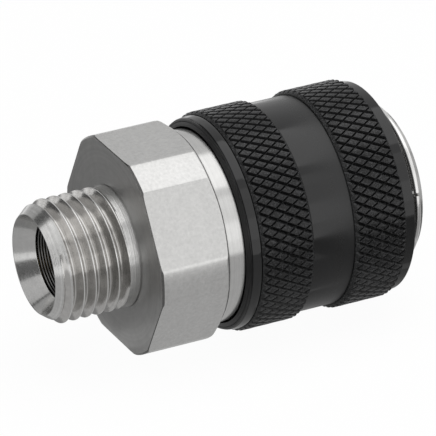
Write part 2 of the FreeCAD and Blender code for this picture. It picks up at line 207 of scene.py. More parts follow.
class Nodes:
    """Short way to add nodes to one tree and join them."""

    def __init__(self, tree: bpy.types.NodeTree) -> None:
        """Work on one node tree."""
        self.tree = tree

    def add(self, kind: str, *inputs: object, **settings: object) -> bpy.types.Node:
        """Add a node.

        Args:
            kind: Type of the node.
            inputs: Values or sockets for its inputs, in order.
            settings: Properties to set on it.

        Returns:
            The new node.
        """
        node = self.tree.nodes.new(kind)
        for name, value in settings.items():
            setattr(node, name, value)
        for socket, value in zip(node.inputs, inputs):
            self.put(value, socket)
        return node

    def put(self, value: object, socket: bpy.types.NodeSocket) -> None:
        """Give a socket a value, or join another socket to it.

        Args:
            value: Value to set, or socket to join.
            socket: Input that takes it.
        """
        if isinstance(value, bpy.types.NodeSocket):
            self.tree.links.new(value, socket)
        else:
            socket.default_value = value

    def math(self, operation: str, *inputs: object) -> bpy.types.NodeSocket:
        """Work out a value from one, two or three others."""
        return self.add("ShaderNodeMath", *inputs, operation=operation).outputs[0]

    def spread(
        self, value: object, low: float, high: float, to_low: float, to_high: float,
    ) -> bpy.types.NodeSocket:
        """Move a value from one range to another, held within its ends."""
        return self.add("ShaderNodeMapRange", value, low, high, to_low, to_high).outputs[0]

    def sway(self, noise: bpy.types.NodeSocket, share: float) -> bpy.types.NodeSocket:
        """Turn a noise into a factor that swings round 1 by a share."""
        return self.spread(noise, low=0.3, high=0.7, to_low=1.0 - share, to_high=1.0 + share)

    def noise(
        self, place: object, scale: object, detail: float, line: bool = False,
    ) -> bpy.types.NodeSocket:
        """Add a noise.

        Args:
            place: Place at which it is read.
            scale: Number of its swells in one unit of length.
            detail: Number of finer layers.
            line: Whether the noise runs along a line instead of through space.

        Returns:
            The value of the noise.
        """
        node = self.add("ShaderNodeTexNoise", noise_dimensions="1D" if line else "3D")
        self.put(place, node.inputs["W" if line else "Vector"])
        self.put(scale, node.inputs["Scale"])
        self.put(detail, node.inputs["Detail"])
        return node.outputs[0]

    def scaled(self, colour: Colour, factor: object) -> bpy.types.NodeSocket:
        """Make a colour lighter or darker.

        Args:
            colour: Colour to change.
            factor: Value or socket that it is multiplied by.

        Returns:
            The changed colour.
        """
        node = self.add("ShaderNodeVectorMath", colour, operation="SCALE")
        self.put(factor, node.inputs["Scale"])
        return node.outputs[0]

    def blend(self, share: object, first: object, second: object) -> bpy.types.NodeSocket:
        """Mix two colours.

        Args:
            share: Share of the second colour.
            first: Colour at a share of 0.
            second: Colour at a share of 1.

        Returns:
            The mixed colour.
        """
        node = self.add("ShaderNodeMix", data_type="RGBA")
        for number, value in ((0, share), (6, first), (7, second)):
            self.put(value, node.inputs[number])
        return node.outputs[2]

    def bump(self, height: object, strength: float) -> bpy.types.NodeSocket:
        """Turn a height into a normal.

        Args:
            height: Height over the surface.
            strength: Share of the height that shows.

        Returns:
            The normal.
        """
        node = self.add("ShaderNodeBump")
        for name, value in (("Strength", strength), ("Distance", BUMP_DISTANCE), ("Height", height)):
            self.put(value, node.inputs[name])
        return node.outputs[0]


class Effect(Enum):
    """Surface effects that several finishes share."""

    TOOL_MARKS = "Tool marks"
    MOTTLE = "Mottle"
    RUB_AND_HIGHLIGHT = "Rub and highlight"


def new_group(
    effect: Effect, inputs: dict[str, float], outputs: Sequence[str],
) -> tuple[bpy.types.NodeTree, Nodes]:
    """Start a shader node group.

    Args:
        effect: Effect that the group makes.
        inputs: Names and first values of its inputs.
        outputs: Names of its outputs.

    Returns:
        The group and a helper for its nodes.
    """
    group = bpy.data.node_groups.new(effect.value, "ShaderNodeTree")
    for name, value in inputs.items():
        socket = group.interface.new_socket(name, in_out="INPUT", socket_type="NodeSocketFloat")
        socket.default_value = value
    for name in outputs:
        group.interface.new_socket(name, in_out="OUTPUT", socket_type="NodeSocketFloat")
    return group, Nodes(group)


def tool_marks() -> bpy.types.NodeTree:
    """Make the fine rings that a lathe leaves on turned faces and round turned walls.

    Returns:
        A group with the height of the rings and a slower change of tone.
    """
    group, nodes = new_group(Effect.TOOL_MARKS, {"Spacing": 0.1}, ["Height", "Tone"])
    given = nodes.add("NodeGroupInput")
    place = nodes.add("ShaderNodeTexCoord").outputs["Object"]
    x, y, z = nodes.add("ShaderNodeSeparateXYZ", place).outputs
    squares = [nodes.math("MULTIPLY", side, side) for side in (y, z)]
    across = nodes.math("SQRT", nodes.math("ADD", *squares))
    along = nodes.math("MULTIPLY", nodes.math("ADD", x, across), 1.0 / MM)
    turns = nodes.math("DIVIDE", along, given.outputs["Spacing"])
    end = nodes.add("NodeGroupOutput")
    nodes.put(nodes.noise(turns, scale=1.0, detail=2.0, line=True), end.inputs["Height"])
    nodes.put(nodes.noise(turns, scale=0.23, detail=3.0, line=True), end.inputs["Tone"])
    return group


def mottle() -> bpy.types.NodeTree:
    """Make the soft clouds and fine specks of a plated or blackened surface.

    Returns:
        A group with the clouds, the specks and a height made of both.
    """
    speck_height = 0.4
    sizes = {"Cloud size": 2.0, "Speck size": 0.12}
    group, nodes = new_group(Effect.MOTTLE, sizes, ["Clouds", "Specks", "Height"])
    given = nodes.add("NodeGroupInput")
    place = nodes.add("ShaderNodeTexCoord").outputs["Object"]
    clouds, specks = (
        nodes.noise(place, nodes.math("DIVIDE", 1.0 / MM, given.outputs[name]), detail)
        for name, detail in (("Cloud size", 4.0), ("Speck size", 2.0))
    )
    end = nodes.add("NodeGroupOutput")
    nodes.put(clouds, end.inputs["Clouds"])
    nodes.put(specks, end.inputs["Specks"])
    nodes.put(nodes.math("MULTIPLY_ADD", specks, speck_height, clouds), end.inputs["Height"])
    return group


def rub_and_highlight() -> bpy.types.NodeTree:
    """Make the broken bright lines on raised edges: wear from handling, partly a painted highlight.

    Returns:
        A group whose mask reads the edge value that a mesh carries.
    """
    group, nodes = new_group(Effect.RUB_AND_HIGHLIGHT, {"Patch size": 1.5, "Amount": 0.5}, ["Mask"])
    given = nodes.add("NodeGroupInput")
    place = nodes.add("ShaderNodeTexCoord").outputs["Object"]
    edge = nodes.add("ShaderNodeAttribute", attribute_name="edge").outputs["Fac"]
    scale = nodes.math("DIVIDE", 1.0 / MM, given.outputs["Patch size"])
    noise = nodes.noise(place, scale, detail=3.0)
    patches = nodes.spread(noise, low=0.35, high=0.7, to_low=0.0, to_high=1.0)
    worn_and_highlit = nodes.math("MULTIPLY", nodes.math("MULTIPLY", edge, patches), given.outputs["Amount"])
    end = nodes.add("NodeGroupOutput")
    nodes.put(worn_and_highlit, end.inputs["Mask"])
    return group


class EffectStore:
    """Keeps each shared effect, built once."""

    makers = {Effect.TOOL_MARKS: tool_marks, Effect.MOTTLE: mottle, Effect.RUB_AND_HIGHLIGHT: rub_and_highlight}
    groups: dict[Effect, bpy.types.NodeTree] = {}

    @classmethod
    def place(cls, nodes: Nodes, effect: Effect, **values: float) -> bpy.types.Node:
        """Put an effect into a material.

        Args:
            nodes: Helper for the material's nodes.
            effect: Effect to place.
            values: Values of its inputs, with _ for each space of their names.

        Returns:
            The group node.
        """
        if effect not in cls.groups:
            cls.groups[effect] = cls.makers[effect]()
        node = nodes.add("ShaderNodeGroup", node_tree=cls.groups[effect])
        for name, value in values.items():
            nodes.put(value, node.inputs[name.replace("_", " ")])
        return node


def new_material(name: str) -> tuple[bpy.types.Material, Nodes, bpy.types.Node]:
    """Start a material.

    Args:
        name: Name of the material.

    Returns:
        The material, a helper for its nodes and its own shader.
    """
    material = bpy.data.materials.new(name)
    material.use_nodes = True
    return material, Nodes(material.node_tree), material.node_tree.nodes["Principled BSDF"]


@dataclass(frozen=True)
class MetalFinish:
    """Bare or plated metal with tool marks and a faint mottle.

    Attributes:
        name: Name of the material.
        colour: Colour of its reflections.
        roughness: Mean roughness.
        spacing: Distance between tool marks in millimetres.
        mark_depth: Strength of the tool marks.
        mark_tone: Share by which the marks change the colour.
        cloud: Share by which the mottle changes the colour.
        cloud_size: Size of the mottle's clouds in millimetres.
        speck_size: Size of its specks in millimetres.
        speck_gloss: Range over which the specks change the roughness.
    """

    name: str
    colour: Colour
    roughness: float
    spacing: float
    mark_depth: float
    mark_tone: float
    cloud: float
    cloud_size: float
    speck_size: float = 0.1
    speck_gloss: float = 0.12

    def material(self) -> bpy.types.Material:
        """Build the material.

        Returns:
            A material with its own shader and the shared effects.
        """
        material, nodes, shader = new_material(self.name)
        marks = EffectStore.place(nodes, Effect.TOOL_MARKS, Spacing=self.spacing).outputs
        clouds = EffectStore.place(
            nodes, Effect.MOTTLE, Cloud_size=self.cloud_size, Speck_size=self.speck_size,
        ).outputs
        lines = nodes.sway(marks["Tone"], self.mark_tone)
        tone = nodes.math("MULTIPLY", lines, nodes.sway(clouds["Clouds"], self.cloud))
        nodes.put(nodes.scaled(self.colour, tone), shader.inputs["Base Color"])
        nodes.put(1.0, shader.inputs["Metallic"])
        smoothest = self.roughness - self.speck_gloss / 2
        gloss = nodes.math("MULTIPLY_ADD", clouds["Specks"], self.speck_gloss, smoothest)
        nodes.put(gloss, shader.inputs["Roughness"])
        height = nodes.math("MULTIPLY_ADD", clouds["Specks"], self.cloud, marks["Height"])
        nodes.put(nodes.bump(height, self.mark_depth), shader.inputs["Normal"])
        return material


@dataclass(frozen=True)
class BlackFinish:
    """Blackened or moulded surface with a satin gloss.

    Attributes:
        name: Name of the material.
        colour: Colour of the body.
        worn_and_highlit: Colour where edges are rubbed and partly carry a painted highlight.
        roughness: Mean roughness.
        grain: Strength of the surface grain.
        grain_size: Size of the grain in millimetres.
        wear_and_highlight: Amount of rubbing on edges, partly a painted highlight.
        hollow: Share of the colour that stays in hollows, a painted shade there.
        rings: Strength of lathe rings.
        ior: Index of refraction of the surface layer.
        fleck: Share by which fine flecks lighten the colour.
        cloud: Share by which the mottle changes the colour.
        cloud_size: Size of the mottle's clouds in millimetres.
        patch_size: Size of the patches of rub and painted highlight in millimetres.
        ring_spacing: Distance between lathe rings in millimetres.
        grain_gloss: Range over which the grain changes the roughness.
        hollow_gloss: Roughness that hollows have on top.
    """

    name: str
    colour: Colour
    worn_and_highlit: Colour
    roughness: float
    grain: float
    grain_size: float
    wear_and_highlight: float = 0.0
    hollow: float = 1.0
    rings: float = 0.0
    ior: float = 1.5
    fleck: float = 0.0
    cloud: float = 0.18
    cloud_size: float = 2.4
    patch_size: float = 1.3
    ring_spacing: float = 0.09
    grain_gloss: float = 0.1
    hollow_gloss: float = 0.3

    def material(self) -> bpy.types.Material:
        """Build the material.

        Returns:
            A material with its own shader and the shared effects.
        """
        material, nodes, shader = new_material(self.name)
        clouds = EffectStore.place(
            nodes, Effect.MOTTLE, Cloud_size=self.cloud_size, Speck_size=self.grain_size,
        ).outputs
        worn_and_highlit = EffectStore.place(nodes, Effect.RUB_AND_HIGHLIGHT, Patch_size=self.patch_size, Amount=self.wear_and_highlight)
        marks = EffectStore.place(nodes, Effect.TOOL_MARKS, Spacing=self.ring_spacing)
        depth = nodes.add("ShaderNodeAttribute", attribute_name="hollow").outputs["Fac"]
        flecks = nodes.spread(clouds["Specks"], low=0.48, high=0.72, to_low=1.0, to_high=1.0 + self.fleck)
        tone = nodes.math("MULTIPLY", nodes.sway(clouds["Clouds"], self.cloud), flecks)
        # Painted shade: the colour darkens towards the bottom of the knurl's grooves.
        tone = nodes.math("MULTIPLY", tone, nodes.spread(depth, 0.0, 1.0, 1.0, self.hollow))
        body = nodes.scaled(self.colour, tone)
        # Rubbed edges, partly a painted highlight, lighten the colour.
        colour = nodes.blend(worn_and_highlit.outputs["Mask"], body, (*self.worn_and_highlit, 1.0))
        nodes.put(colour, shader.inputs["Base Color"])
        smoothest = self.roughness - self.grain_gloss / 2
        gloss = nodes.math("MULTIPLY_ADD", clouds["Specks"], self.grain_gloss, smoothest)
        gloss = nodes.math("MULTIPLY_ADD", depth, self.hollow_gloss, gloss)
        nodes.put(gloss, shader.inputs["Roughness"])
        nodes.put(self.ior, shader.inputs["IOR"])
        height = nodes.math("MULTIPLY_ADD", marks.outputs["Height"], self.rings, clouds["Height"])
        nodes.put(nodes.bump(height, self.grain), shader.inputs["Normal"])
        return material


NICKEL = (0.635, 0.632, 0.622)


class Metal(Enum):
    """Metal finishes of the coupling."""

    # Darker than the plain nickel: painted shade for the thread's grooves.
    THREAD_PAINTED_SHADE = MetalFinish(
        "nickel_thread_painted_shade", (0.58, 0.57, 0.555), roughness=0.14,
        spacing=0.06, mark_depth=0.2, mark_tone=0.06, cloud=0.08, cloud_size=0.8,
    )
    CHAMFER = MetalFinish(
        "nickel_chamfer", NICKEL, roughness=0.2,
        spacing=0.14, mark_depth=0.3, mark_tone=0.12, cloud=0.07, cloud_size=0.5,
    )
    FLATS = MetalFinish(
        "nickel_flats", NICKEL, roughness=0.24,
        spacing=0.5, mark_depth=0.02, mark_tone=0.015, cloud=0.06, cloud_size=0.35,
    )
    # Darker than the plain nickel: painted shade on the hexagon's front face.
    FACE_PAINTED_SHADE = MetalFinish(
        "nickel_turned_face_painted_shade", (0.42, 0.418, 0.412), roughness=0.4,
        spacing=0.09, mark_depth=0.15, mark_tone=0.05, cloud=0.05, cloud_size=1.0,
    )
    COLLAR = MetalFinish(
        "nickel_collar", NICKEL, roughness=0.17,
        spacing=0.07, mark_depth=0.12, mark_tone=0.04, cloud=0.03, cloud_size=0.8,
    )
    CONE = MetalFinish(
        "nickel_cone", (0.59, 0.587, 0.578), roughness=0.17,
        spacing=0.1, mark_depth=0.2, mark_tone=0.05, cloud=0.05, cloud_size=0.6,
    )
    # Far darker than the plain nickel: painted shade in the bore and along the hexagon's front edge.
    DARK_PAINTED_SHADE = MetalFinish(
        "nickel_dark_painted_shade", (0.155, 0.153, 0.15), roughness=0.22,
        spacing=0.3, mark_depth=0.1, mark_tone=0.05, cloud=0.1, cloud_size=1.2,
    )
    # Darker than the plain nickel: painted shade on the valve body's nose inside the sleeve.
    NOSE_PAINTED_SHADE = MetalFinish(
        "nickel_nose_painted_shade", (0.34, 0.338, 0.333), roughness=0.2,
        spacing=0.06, mark_depth=0.15, mark_tone=0.06, cloud=0.05, cloud_size=1.2,
    )
    SPRING = MetalFinish(
        "spring_steel", (0.55, 0.54, 0.52), roughness=0.3,
        spacing=0.2, mark_depth=0.1, mark_tone=0.05, cloud=0.12, cloud_size=0.8,
    )
    # The snap ring's steel, also used as a painted highlight on the thread's crests.
    RING_AND_CREST_HIGHLIGHT = MetalFinish(
        "ring_steel_and_crest_highlight", (0.8, 0.795, 0.785), roughness=0.2,
        spacing=0.15, mark_depth=0.08, mark_tone=0.05, cloud=0.06, cloud_size=0.8,
    )
    BALL = MetalFinish(
        "ball_steel", (0.7, 0.7, 0.7), roughness=0.12,
        spacing=0.4, mark_depth=0.02, mark_tone=0.02, cloud=0.03, cloud_size=1.0,
    )
    BRASS = MetalFinish(
        "valve_brass", (0.71, 0.55, 0.29), roughness=0.27,
        spacing=0.08, mark_depth=0.2, mark_tone=0.08, cloud=0.06, cloud_size=1.2,
    )


class Black(Enum):
    """Black and moulded finishes of the coupling."""

    SLEEVE = BlackFinish(
        "black_sleeve", (0.0018, 0.0019, 0.0022), (0.03, 0.03, 0.032), roughness=0.07,
        grain=0.02, grain_size=0.2, wear_and_highlight=0.3, rings=0.5, ior=1.57,
    )
    KNURL = BlackFinish(
        "black_knurl", (0.005, 0.0051, 0.0053), (0.05, 0.05, 0.052), roughness=0.22,
        grain=0.6, grain_size=0.16, wear_and_highlight=0.8, ior=1.37, fleck=10.0,
    )
    # Painted shade on the knurl's walls that face down at the front and on both walls of its narrow
    # grooves.
    KNURL_PAINTED_SHADE = BlackFinish(
        "black_knurl_painted_shade", (0.005, 0.005, 0.0053), (0.01, 0.01, 0.01), roughness=0.45,
        grain=0.3, grain_size=0.14, hollow=0.7, ior=1.2, fleck=2.0,
    )
    # A lighter, rougher copy of the sleeve's black for the back bevel; its lighter colour is painted
    # light.
    LIP_PAINTED_LIGHT = BlackFinish(
        "black_lip_painted_light", (0.016, 0.016, 0.0165), (0.03, 0.03, 0.032), roughness=0.35,
        grain=0.1, grain_size=0.2, ior=1.35,
    )
    SEAL = BlackFinish(
        "seal_rubber", (0.016, 0.016, 0.017), (0.03, 0.03, 0.03), roughness=0.5,
        grain=0.3, grain_size=0.1,
    )
    SLIP = BlackFinish(
        "slip_ring", (0.55, 0.53, 0.48), (0.6, 0.58, 0.53), roughness=0.42,
        grain=0.15, grain_size=0.12,
    )


Finish = Metal | Black


class FinishStore:
    """Keeps the material of each finish, built once."""

    made: dict[Finish, bpy.types.Material] = {}

    @classmethod
    def of(cls, finish: Finish) -> bpy.types.Material:
        """Give the material of a finish.

        Args:
            finish: Finish to look up.

        Returns:
            Its material.
        """
        if finish not in cls.made:
            cls.made[finish] = finish.value.material()
        return cls.made[finish]


class Shell:
    """Surface of one piece, gathered in millimetres before it becomes a mesh."""

    def __init__(self) -> None:
        """Start with no points and no faces."""
        self.points: list[np.ndarray] = []
        self.faces: list[tuple[int, ...]] = []
        self.finishes: list[Finish] = []
        self.total = 0

    def patch(
        self, points: np.ndarray, faces: Sequence[Sequence[int]], finishes: Sequence[Finish],
    ) -> None:
        """Add points and faces.

        Args:
            points: Points of shape (count, 3).
            faces: Corners of each face, counted from the first of these points.
            finishes: Finish of each face.
        """
        self.faces.extend(tuple(corner + self.total for corner in face) for face in faces)
        self.finishes.extend(finishes)
        self.points.append(points)
        self.total += len(points)

    def take(self, work: bmesh.types.BMesh, choose: Callable[[bmesh.types.BMFace], Finish]) -> None:
        """Add a mesh that has been cut, and free it.

        Args:
            work: Mesh to add.
            choose: Tells the finish of a face.
        """
        work.verts.index_update()
        points = np.array([vert.co for vert in work.verts])
        faces = [[vert.index for vert in face.verts] for face in work.faces]
        self.patch(points, faces, [choose(face) for face in work.faces])
        work.free()

    def sheet(self, grid: np.ndarray, finish: Finish, closed: bool = True) -> None:
        """Add a grid of points as quads.

        Args:
            grid: Points of shape (rows, columns, 3), with the columns round the axis.
            finish: Finish that the quads take.
            closed: Whether the last column meets the first.
        """
        quads = grid_quads(*grid.shape[:2], closed)
        self.patch(grid.reshape(-1, 3), quads.tolist(), [finish] * len(quads))

    def rows(self, rows: Sequence[Sequence[object]], angle: np.ndarray, finish: Finish) -> None:
        """Join rows of points round the axis.

        Args:
            rows: Place and radius of each row, both either one number or one for each column.
            angle: Angles of the columns.
            finish: Finish that the surface takes.
        """
        self.sheet(np.stack([on_axis(place, radius, angle) for place, radius in rows]), finish)

    def turned(self, profile: Profile, steps: int, finish: Finish) -> None:
        """Turn a profile round the axis.

        Args:
            profile: Places and radii, towards +X on an outer face and towards -X in a bore.
            steps: Number of columns round the axis.
            finish: Finish that the surface takes.
        """
        self.rows(profile, round_angles(steps), finish)

    def piece(self, name: str, crease: float = 38.0) -> bpy.types.Object:
        """Make the gathered surface a piece of the scene.

        Args:
            name: Name of the piece.
            crease: Angle in degrees above which an edge is sharp.

        Returns:
            The new mesh object.
        """
        mesh = bpy.data.meshes.new(name)
        mesh.from_pydata((np.concatenate(self.points) * MM).tolist(), [], self.faces)
        numbers = {finish: number for number, finish in enumerate(dict.fromkeys(self.finishes))}
        for finish in numbers:
            mesh.materials.append(FinishStore.of(finish))
        mesh.polygons.foreach_set("material_index", [numbers[finish] for finish in self.finishes])
        work = bmesh.new()
        work.from_mesh(mesh)
        bmesh.ops.remove_doubles(work, verts=work.verts, dist=MERGE_DISTANCE)
        work.to_mesh(mesh)
        work.free()
        mesh.shade_smooth()
        mesh.set_sharp_from_angle(angle=math.radians(crease))
        return in_scene(name, mesh)


def settle(piece: bpy.types.Object, body: str, node: str) -> None:
    """Let a piece stand for a CAD node and move with its body.

    Args:
        piece: Piece to settle.
        body: Body that it rides on.
        node: CAD node that it stands for.
    """
    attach(piece, body)
    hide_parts(node)


@dataclass
class ThreadedAdapter:
    """Inlet thread, hexagon and collar; sizes in millimetres, angles in degrees."""

    # Thread
    thread_radius: float = 6.5785
    pitch: float = 1.337
    crest_rounding: float = 0.1
    root_rounding: float = 0.1836
    flank_angle: float = 27.5
    crest_highlight_band: float = 0.03
    thread_shift: float = -0.1
    thread_steps: int = 144
    entry_length: float = 1.2
    runout_start: float = -1.75
    runout_power: float = 0.8
    # Tip with its chamfer
    tip: float = -9.2
    tip_edge: float = 5.4
    tip_slope: float = 0.78
    tip_rim: float = 5.3
    chamfer_slack: float = 0.004
    # Plain ring and undercut between thread and hexagon
    ring_start: float = -1.15
    ring_end: float = -0.16
    ring_rise: float = 0.14
    undercut: float = 0.12
    undercut_start: float = 0.03
    undercut_wall: float = 0.04
    overlap: float = 0.02
    # Inner cone and bore with fine rings
    bore: float = 4.15
    cone_end: float = -7.124
    bore_end: float = 2.5
    bore_lead: float = 0.1
    bore_steps: int = 96
    groove_pitch: float = 0.3
    groove_depth: float = 0.05
    groove_step: float = 0.05
    grooved_length: float = 4.2
    # Hexagon
    flat: float = 11.0
    corner: float = 11.77
    hex_length: float = 8.2
    front_chamfer: float = 0.12
    back_chamfer: float = 0.47
    back_angle: float = 60.0
    edge_break: float = 0.07
    edge_run: float = 0.1
    back_break: tuple[float, float] = (0.2, 0.1)
    rim_drop: float = 0.05
    face_overlap: float = 0.3
    face_levels: tuple[float, ...] = (0.0, 0.3, 0.6, 0.85)
    face_margin: float = 0.12
    flat_columns: tuple[float, ...] = (-16.0, -11.0, -5.5, 0.0, 5.5, 11.0, 16.0)
    edge_columns: tuple[float, float, float] = (0.45, 1.2, 2.6)
    flat_rows: tuple[float, float] = (0.35, 0.7)
    # Collar and the room behind it
    collar: float = 10.43
    relief: float = 0.1
    relief_foot: float = 0.06
    collar_end: float = 15.0
    collar_chamfer: float = 0.25
    collar_steps: int = 120
    socket: float = 8.62
    socket_end: float = 6.5
    chamber: float = 6.2

    def thread_rows(self) -> tuple[np.ndarray, np.ndarray]:
        """Walk over one pitch of the thread from crest to crest.

        Returns:
            Places within the pitch and depths below the crest.
        """
        bend = np.linspace(0.0, math.radians(90 - self.flank_angle), 5)
        arc = np.stack([np.sin(bend), 1 - np.cos(bend)], axis=1)
        crest, hollow = self.crest_rounding * arc, self.root_rounding * arc
        half = self.pitch / 2
        run = half - crest[-1, 0] - hollow[-1, 0]
        depth = crest[-1, 1] + hollow[-1, 1] + run / math.tan(math.radians(self.flank_angle))
        root = np.array([half, depth]) - hollow[::-1]
        share = np.array([[0.05], [0.5], [0.95]])
        flank = crest[-1] + (root[0] - crest[-1]) * share
        down = np.concatenate([crest, flank, root])
        up = down[-2:0:-1] * [-1, 1] + [self.pitch, 0]
        return tuple(np.concatenate([down, up]).T)

    def thread(self, shell: Shell) -> None:
        """Wind the thread round the tip, cut off by the chamfer and run out before the hexagon.

        Args:
            shell: Surface of the adapter.
        """
        touch, slack, before_tip = 1e-5, 1e-6, -1.0
        places, depths = self.thread_rows()
        turns = np.arange(math.floor(self.tip / self.pitch) - 1, 2)
        along = (turns[:, None] * self.pitch + places[None]).reshape(-1)
        depth = np.tile(depths, len(turns))[:, None]
        angle = np.linspace(0.0, FULL_TURN, self.thread_steps + 1)
        place = along[:, None] + self.pitch * angle[None] / FULL_TURN + self.thread_shift
        fade = np.clip((self.ring_start - place) / (self.ring_start - self.runout_start), 0.0, 1.0)
        entry = np.clip((place - self.tip) / self.entry_length, 0.0, 1.0)
        radius = self.thread_radius - np.minimum(depth * entry, depth.max() * fade ** self.runout_power)
        # The rows before the tip are cut off below and only have to stay clear of the axis.
        chamfer = self.tip_edge + np.maximum(place - self.tip, before_tip) * self.tip_slope
        grid = on_axis(place, np.minimum(radius, chamfer), angle[None])
        work = start_work(grid.reshape(-1, 3), grid_quads(*grid.shape[:2]).tolist(), touch)
        cut_across(work, self.tip, -1.0, slack)
        cut_across(work, self.overlap, 1.0, slack)
        for edge in (self.ring_start, self.ring_end, self.ring_end + self.undercut_wall):
            cut_across(work, edge, 1.0, slack, clear=False)
        for vert in work.verts:
            if vert.co.x > self.ring_start - slack:
                limit = self.thread_radius - self.ring_drop(vert.co.x)
                to_radius(vert, min(reach_of(vert.co), limit))
        shell.take(work, self.thread_finish)

    def ring_drop(self, place: float) -> float:
        """Tell how far the plain ring and the undercut lie below the thread's crest.

        Args:
            place: Place on the axis.

        Returns:
            The drop in millimetres.
        """
        if place > self.ring_end + self.undercut_start:
            return self.undercut
        return max(self.ring_end - place, 0.0) * self.ring_rise

    def thread_finish(self, face: bmesh.types.BMFace) -> Metal:
        """Tell the chamfer, the plain ring at the hexagon and the crests with a painted highlight from the
        thread.

        Args:
            face: Face of the wound thread.

        Returns:
            The finish that the face takes.
        """
        edge = self.tip_edge - self.chamfer_slack
        chamfered = all(
            reach_of(vert.co) > edge + (vert.co.x - self.tip) * self.tip_slope for vert in face.verts
        )
        if chamfered or face.calc_center_median().x > self.ring_start:
            return Metal.CHAMFER
        lowest = min(reach_of(vert.co) for vert in face.verts)
        # Crests take the snap ring's brighter steel as a painted highlight.
        return Metal.RING_AND_CREST_HIGHLIGHT if lowest > self.thread_radius - self.crest_highlight_band else Metal.THREAD_PAINTED_SHADE

    def tip_and_bore(self, shell: Shell) -> None:
        """Turn the rim of the tip, the inner cone and the bore with its fine rings.

        Args:
            shell: Surface of the adapter.
        """
        rim = (self.tip_rim + self.tip_edge) / 2
        mouth = self.cone_end + self.bore_lead
        cone = eased([
            (mouth, self.bore),
            (self.cone_end, self.bore, 0.04),
            (self.tip, self.tip_rim, 0.05),
            (self.tip, rim),
        ])
        shell.turned(cone, self.thread_steps, Metal.CONE)
        shell.turned([(self.tip, rim), (self.tip, self.tip_edge)], self.thread_steps, Metal.CHAMFER)
        # The bore takes the far darker nickel, a painted shade inside it.
        rings = np.arange(mouth + self.grooved_length, mouth - 0.001, -self.groove_step)
        wave = self.groove_depth * np.abs(np.sin(math.pi * (rings - mouth) / self.groove_pitch))
        plain = [(self.bore_end, self.bore), (rings[0], self.bore)]
        shell.turned(plain, self.bore_steps, Metal.DARK_PAINTED_SHADE)
        shell.turned(np.stack([rings, self.bore + wave], axis=1), self.bore_steps, Metal.DARK_PAINTED_SHADE)

    def hex_columns(self) -> tuple[np.ndarray, np.ndarray]:
        """Walk round the hexagon, with columns on both sides of each edge of a flat.

        Returns:
            Angles round the axis and the radius at each of them.
        """
        edge = math.degrees(math.acos(self.flat / self.corner))
        close, near, off = self.edge_columns
        sector = np.array([
            close - edge, near - edge, *self.flat_columns, edge - near, edge - close,
            edge + close, edge + near, *np.linspace(edge + off, 60 - edge - off, 5),
            60 - edge - near, 60 - edge - close,
        ])
        offset = np.abs(np.where(sector > 30, sector - 60, sector))
        radius = np.minimum(self.flat / np.cos(np.radians(offset)), self.corner)
        angle = np.radians(sector[None] + 60 * np.arange(6)[:, None])
        return angle.reshape(-1), np.tile(radius, 6)

    def hexagon(self, shell: Shell) -> None:
        """Make the front face, the flats with their rounded corners and both chamfers.

        Args:
            shell: Surface of the adapter.
        """
        angle, radius = self.hex_columns()
        front = np.maximum(radius - (self.corner - self.front_chamfer), 0.0) + self.edge_break
        slope = math.tan(math.radians(self.back_angle))
        drop = radius - (self.corner - self.back_chamfer * slope) + self.edge_break
        back = self.hex_length - drop / slope
        inner = self.thread_radius - self.face_overlap
        outer = radius - front - self.face_margin
        face = [(0.0, inner + (outer - inner) * level) for level in self.face_levels]
        face += [(0.0, radius - front - self.edge_run), (0.0, radius - front)]
        # The front face takes a darker nickel, a painted shade.
        shell.rows(face, angle, Metal.FACE_PAINTED_SHADE)
        # The narrow front edge takes the bore's dark finish, a painted shadow line.
        shell.rows([(0.0, radius - front), (front, radius)], angle, Metal.DARK_PAINTED_SHADE)
        length, depth = self.back_break
        rim = radius - drop - self.rim_drop
        shell.rows([
            (front, radius),
            (front + self.edge_run, radius),
            *((front + (back - front) * share, radius) for share in self.flat_rows),
            (back - length - self.edge_run, radius),
            (back - length, radius),
            (back, radius - depth),
            (self.hex_length, rim),
        ], angle, Metal.FLATS)
        foot = self.collar - self.relief
        shell.rows([(self.hex_length, rim), (self.hex_length, foot)], angle, Metal.COLLAR)

    def collar_and_room(self, shell: Shell) -> None:
        """Turn the collar, the socket for the barrel and the guide's chamber.

        Args:
            shell: Surface of the adapter.
        """
        shell.turned(eased([
            (self.hex_length, self.collar - self.relief),
            (self.hex_length + self.relief_foot, self.collar - self.relief),
            (self.hex_length + self.relief, self.collar, 0.03),
            (self.collar_end - self.collar_chamfer, self.collar, 0.08),
            (self.collar_end, self.collar - self.collar_chamfer, 0.08),
            (self.collar_end, self.socket, 0.05),
            (self.socket_end, self.socket),
            (self.socket_end, self.chamber, 0.05),
            (self.bore_end, self.chamber),
            (self.bore_end, self.bore),
        ]), self.collar_steps, Metal.COLLAR)

    def build(self) -> bpy.types.Object:
        """Build and dress the adapter.

        Returns:
            The finished piece.
        """
        shell = Shell()
        self.thread(shell)
        self.tip_and_bore(shell)
        self.hexagon(shell)
        self.collar_and_room(shell)
        piece = shell.piece("adapter")
        settle(piece, "housing", "threaded_adapter")
        return piece


